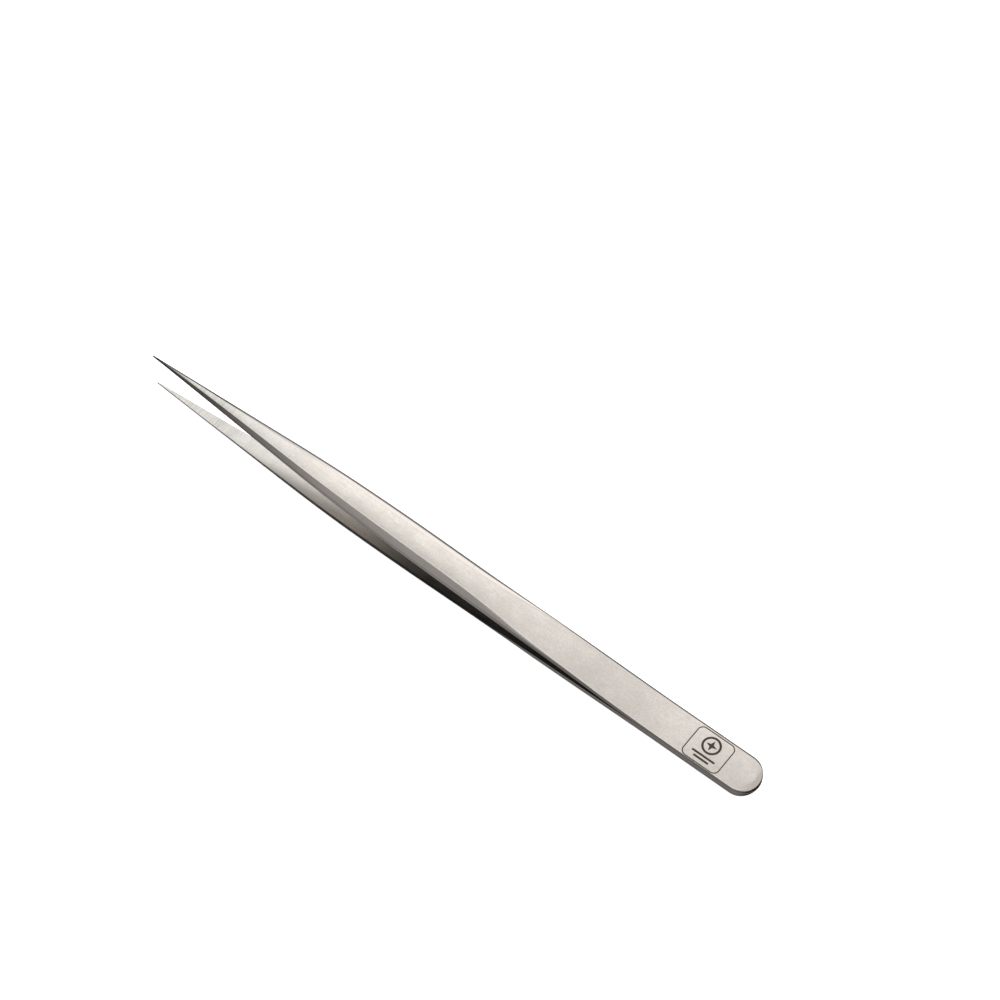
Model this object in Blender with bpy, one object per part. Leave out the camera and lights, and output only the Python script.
"""Straight needle-point precision tweezers: two spring-steel strips welded at the tail.

Frame: +X points to the tail, -X to the tips, Y is the width and +Z is up. The tweezers lie on the
lower strip, on the end of its tail and on its belly, and the origin is under the middle of their box.

Along a strip, a place is given by its distance from the tail's end, called along. Across it, height
is the distance from the plane where the two strips meet, before the tweezers are laid down.
"""

import math

import bmesh
import bpy
from mathutils import Matrix, Vector

MM = 0.001
MERGE = 1e-7               # metres: joins the two sides where they meet at the very end

# Driving dimensions, in millimetres unless the name says otherwise.
LENGTH = 140.0
TAIL_WIDTH = 7.36
STRIP_THICKNESS = 1.05
SEAM = 0.1                # between the faces of the two strips at the tail
FLEX_ALONG = 27.0         # where the strips part and start to bend
FLEX_GAP = 0.1            # between the tail and each arm, on the flex line
TIP_WIDTH = 0.25
TIP_THICKNESS = 0.28
STEP = 3.0                # longest distance between two sections of a strip
ROUND_STEPS = 6           # sections in a quarter of the tail's round end
EDGE_BREAK = 0.12         # width and depth of the broken edge where no bevel is ground

# Full width of a strip at a few places along it: parallel at the back, a straight taper in front.
WIDTH_POINTS = ((0.0, TAIL_WIDTH), (25.0, 7.3), (45.0, 7.05), (70.0, 7.0), (84.0, 6.65), (98.0, 5.65),
                (119.0, 2.95), (LENGTH, TIP_WIDTH))
# Height of a strip's inner face: flat on its partner, bent away, straight, and eased in at the tip.
BEND_POINTS = ((0.0, 0.0), (20.0, 0.0), (30.0, 0.29), (40.0, 0.76), (52.0, 1.17))
STRAIGHT_SLOPE = 0.0375
EASE_FROM = 112.0
TIP_SLOPE = 0.018
# The strip is thinned from the start of the land, the flat on its outer face that it lies on.
LAND_FROM = 95.0
LAND_TO = 108.0
THINNING = ((125.0, 0.67), (LENGTH, TIP_THICKNESS))
# The ground side bevels, as shares of the half width and of the thickness.
BEVEL_WIDTH_POINTS = ((30.0, 0.0), (48.0, 0.13), (56.0, 0.29), (64.0, 0.39), (72.0, 0.42), (105.0, 0.42),
                      (122.0, 0.5), (LENGTH, 0.75))
BEVEL_DEPTH_POINTS = ((30.0, 0.0), (48.0, 0.2), (60.0, 0.38), (72.0, 0.42), (100.0, 0.42), (115.0, 0.5),
                      (LENGTH, 0.65))

WELD_PLACES = {"weld_rear": 9.0, "weld_front": 17.5}
WELD_DIAMETER = 3.0
WELD_THICKNESS = 0.5
WELD_SIDES = 32
WELD_GAP = 0.05

STEEL = (0.72, 0.70, 0.67)
WELD_STEEL = (0.42, 0.40, 0.39)


def clear_scene():
    for old in list(bpy.data.objects):
        bpy.data.objects.remove(old, do_unlink=True)


def read_curve(points, along):
    """A smooth curve through a few (along, value) points, level past either end."""
    if along <= points[0][0]:
        return points[0][1]
    if along >= points[-1][0]:
        return points[-1][1]
    last = len(points) - 1
    left = max(i for i in range(last) if points[i][0] <= along)

    def slope(i):
        before, after = points[max(i - 1, 0)], points[min(i + 1, last)]
        return (after[1] - before[1]) / (after[0] - before[0])

    (a, va), (b, vb) = points[left], points[left + 1]
    span = b - a
    t = (along - a) / span
    rise = (2 * t**3 - 3 * t**2 + 1) * va + (3 * t**2 - 2 * t**3) * vb
    return rise + span * ((t**3 - 2 * t**2 + t) * slope(left) + (t**3 - t**2) * slope(left + 1))


def half_width(along):
    return read_curve(WIDTH_POINTS, along) / 2


def inner_height(along):
    """Height of the inner face: the bend, a straight stretch, and a last one whose slope eases off."""
    bent = BEND_POINTS[-1][0]
    height = SEAM / 2 + max(0.0, read_curve(BEND_POINTS, along))
    height += STRAIGHT_SLOPE * max(0.0, along - bent)
    ease = max(0.0, along - EASE_FROM)
    return height - (STRAIGHT_SLOPE - TIP_SLOPE) * ease**2 / (2 * (LENGTH - EASE_FROM))


def land_height(along):
    """Height of the land, which lies in line with the outer edge of the tail's end."""
    tail_height = SEAM / 2 + STRIP_THICKNESS
    slope = (inner_height(LAND_FROM) + STRIP_THICKNESS - tail_height) / LAND_FROM
    return tail_height + slope * along


def thickness(along):
    """Full thickness at the back, thinner along the land, and thinned on to the tip."""
    if along <= LAND_FROM:
        return STRIP_THICKNESS
    if along <= LAND_TO:
        return land_height(along) - inner_height(along)
    at_land = (LAND_TO, land_height(LAND_TO) - inner_height(LAND_TO))
    return read_curve((at_land, *THINNING), along)


def bevel(along):
    """Width and depth of the bevel on a strip's outer edges."""
    width = max(EDGE_BREAK, read_curve(BEVEL_WIDTH_POINTS, along) * half_width(along))
    depth = max(EDGE_BREAK, read_curve(BEVEL_DEPTH_POINTS, along) * thickness(along))
    return min(width, 0.8 * half_width(along)), min(depth, 0.8 * thickness(along))


def section(along):
    """One side of a section across a strip: inner edge, side edge, and the flat's edge."""
    half, inner = half_width(along), inner_height(along)
    outer = inner + thickness(along)
    wide, deep = bevel(along)
    return [(along, half, inner), (along, half, outer - deep), (along, half - wide, outer)]


def round_end_sections():
    """Sections around the tail's full-round end, from its very end to its widest place."""
    radius = TAIL_WIDTH / 2
    inner, outer = SEAM / 2, SEAM / 2 + STRIP_THICKNESS
    flat = radius - EDGE_BREAK
    rows = []
    for step in range(ROUND_STEPS):
        turn = math.radians(90) * step / ROUND_STEPS
        rim = (radius * (1 - math.cos(turn)), radius * math.sin(turn))
        inset = (radius - flat * math.cos(turn), flat * math.sin(turn))
        rows.append([(*rim, inner), (*rim, outer - EDGE_BREAK), (*inset, outer)])
    return rows


def places(start, end):
    """Evenly spaced places from start to end, no more than STEP apart."""
    count = math.ceil((end - start) / STEP)
    return [start + (end - start) * i / count for i in range(count + 1)]


def arm_places():
    """Places along an arm. The land has none between its ends, so that it is one flat face."""
    return places(FLEX_ALONG + FLEX_GAP / 2, LAND_FROM) + places(LAND_TO, LENGTH)


def world_point(along, across, height, side):
    """A point before laying down: side is +1 on the upper strip and -1 on the lower one."""
    return Vector(((LENGTH / 2 - along) * MM, across * MM, side * height * MM))


def material(name, colour, roughness):
    made = bpy.data.materials.new(name)
    made.use_nodes = True
    shader = made.node_tree.nodes["Principled BSDF"]
    shader.inputs["Base Color"].default_value = (*colour, 1.0)
    shader.inputs["Metallic"].default_value = 1.0
    shader.inputs["Roughness"].default_value = roughness
    return made


def add_object(name, mesh, parent, origin, finish):
    mesh.transform(Matrix.Translation(-origin))
    made = bpy.data.objects.new(name, mesh)
    bpy.context.scene.collection.objects.link(made)
    made.parent = parent
    made.location = origin
    mesh.materials.append(finish)
    return made


def strip_mesh(name, rows, side):
    """A closed solid through rows of section points, mirrored across the width."""
    bm = bmesh.new()
    rings = []
    for row in rows:
        near = [bm.verts.new(world_point(a, -w, h, side)) for a, w, h in row]
        far = [bm.verts.new(world_point(a, w, h, side)) for a, w, h in row]
        rings.append((near, far))
    corners = len(rows[0])
    for (near, far), (near_next, far_next) in zip(rings, rings[1:]):
        loop = near + far[::-1]
        loop_next = near_next + far_next[::-1]
        for i in range(len(loop)):
            j = (i + 1) % len(loop)
            bm.faces.new((loop[i], loop[j], loop_next[j], loop_next[i]))
    for near, far in (rings[0], rings[-1]):
        for i in range(corners - 1):
            bm.faces.new((near[i], near[i + 1], far[i + 1], far[i]))
    bmesh.ops.remove_doubles(bm, verts=bm.verts, dist=MERGE)
    bmesh.ops.recalc_face_normals(bm, faces=bm.faces)
    mesh = bpy.data.meshes.new(name)
    bm.to_mesh(mesh)
    bm.free()
    return mesh


def disc_mesh(name, diameter, height):
    bm = bmesh.new()
    bmesh.ops.create_cone(bm, cap_ends=True, segments=WELD_SIDES, radius1=diameter / 2 * MM,
                          radius2=diameter / 2 * MM, depth=height * MM)
    mesh = bpy.data.meshes.new(name)
    bm.to_mesh(mesh)
    bm.free()
    return mesh


def laying_down():
    """The turn and the shift that lay the symmetric tweezers on their lower strip."""
    turn = math.atan2(land_height(LAND_TO) - land_height(0.0), LAND_TO)
    rows = round_end_sections() + [section(along) for along in arm_places()]
    laid = Matrix.Rotation(turn, 4, "Y")
    corners = [laid @ world_point(a, w, h, side) for row in rows for a, w, h in row for side in (1, -1)]
    middle = (min(c.x for c in corners) + max(c.x for c in corners)) / 2
    return turn, Vector((-middle, 0.0, -min(c.z for c in corners)))


def make_rest():
    """The empty that every piece hangs on, which lays the tweezers down."""
    turn, shift = laying_down()
    rest = bpy.data.objects.new("resting_pose", None)
    bpy.context.scene.collection.objects.link(rest)
    rest.rotation_euler = (0.0, turn, 0.0)
    rest.location = shift
    return rest


def cut_pocket(strip, weld_name, along, parent):
    """A shallow round pocket in a strip's inner face, for half of a weld."""
    mesh = disc_mesh(f"{strip.name}_{weld_name}_cutter", WELD_DIAMETER + 2 * WELD_GAP,
                     WELD_THICKNESS + 2 * WELD_GAP)
    cutter = bpy.data.objects.new(mesh.name, mesh)
    bpy.context.scene.collection.objects.link(cutter)
    cutter.parent = parent
    cutter.location = world_point(along, 0.0, 0.0, 1)
    cutter.hide_render = True
    cutter.display_type = "WIRE"
    cut = strip.modifiers.new(weld_name, "BOOLEAN")
    cut.operation = "DIFFERENCE"
    cut.solver = "EXACT"
    cut.object = cutter


def make_tail(name, side, rest, finish):
    """The welded end of one strip, with its round end and the pockets of the welds."""
    rows = round_end_sections()
    rows += [section(along) for along in places(TAIL_WIDTH / 2, FLEX_ALONG - FLEX_GAP / 2)]
    tail = add_object(name, strip_mesh(name, rows, side), rest, Vector(), finish)
    for weld_name, along in WELD_PLACES.items():
        cut_pocket(tail, weld_name, along, rest)


def make_arm(name, side, rest, finish):
    """The free part of one strip, with its origin on the line that it flexes about."""
    rows = [section(along) for along in arm_places()]
    middle = inner_height(FLEX_ALONG) + STRIP_THICKNESS / 2
    flex_line = world_point(FLEX_ALONG, 0.0, middle, side)
    add_object(name, strip_mesh(name, rows, side), rest, flex_line, finish)


def make_welds(rest, finish):
    for name, along in WELD_PLACES.items():
        disc = disc_mesh(name, WELD_DIAMETER, WELD_THICKNESS)
        weld = add_object(name, disc, rest, Vector(), finish)
        weld.location = world_point(along, 0.0, 0.0, 1)


def main():
    clear_scene()
    steel = material("satin_steel", STEEL, 0.38)
    weld_steel = material("weld_steel", WELD_STEEL, 0.55)
    rest = make_rest()
    make_tail("upper_strip_tail", 1, rest, steel)
    make_tail("lower_strip_tail", -1, rest, steel)
    make_arm("upper_strip_arm", 1, rest, steel)
    make_arm("lower_strip_arm", -1, rest, steel)
    make_welds(rest, weld_steel)


main()
